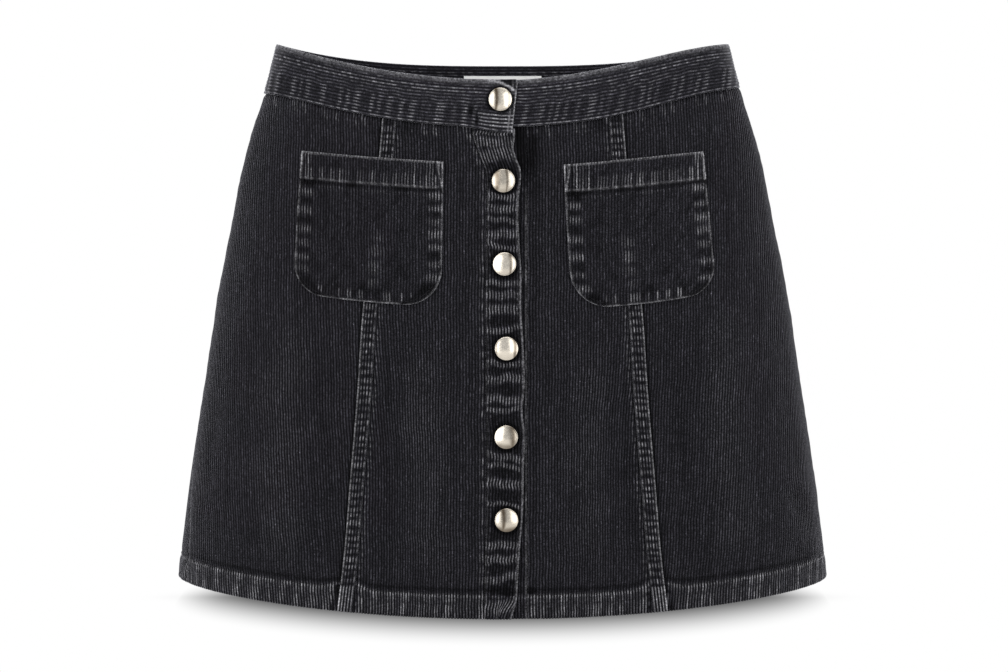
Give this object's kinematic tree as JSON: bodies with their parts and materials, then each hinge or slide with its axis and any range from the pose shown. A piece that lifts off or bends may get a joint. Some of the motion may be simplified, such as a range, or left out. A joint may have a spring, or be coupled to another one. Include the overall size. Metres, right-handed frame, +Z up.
{
  "type": "a-line skirt",
  "caption": "Short a-line corduroy skirt, hollow and open at waist and hem, with a waistband, a snap front on a lapped placket, lapped princess seams and two patch pockets.",
  "frame": {"origin": "middle of the waist opening, half way up the waistband at the side seams", "axes": "+X to the viewer's right when facing the front, +Y towards the back, +Z up out of the waist"},
  "size_m": [0.4714, 0.1899, 0.3986],
  "materials": {
    "corduroy": "washed black corduroy, wales down the panels",
    "band_corduroy": "washed black corduroy, worn along its stitched edges",
    "pocket_corduroy": "washed black corduroy, wales down the pocket",
    "snap_metal": "pale polished metal",
    "label_cloth": "plain white woven tape"
  },
  "bodies": {
    "root": {"panel_back": "corduroy", "panel_side_left": "corduroy", "panel_front_left": "corduroy", "pocket_left": "pocket_corduroy", "panel_side_right": "corduroy", "panel_front_right": "corduroy", "pocket_right": "pocket_corduroy", "placket_over": "band_corduroy", "placket_under": "band_corduroy", "waistband_left": "band_corduroy", "waistband_right": "band_corduroy", "waistband_back": "band_corduroy", "label": "label_cloth", "snap_1": "snap_metal", "snap_2": "snap_metal", "snap_3": "snap_metal", "snap_4": "snap_metal", "snap_5": "snap_metal", "snap_6": "snap_metal"}
  },
  "joints": []
}
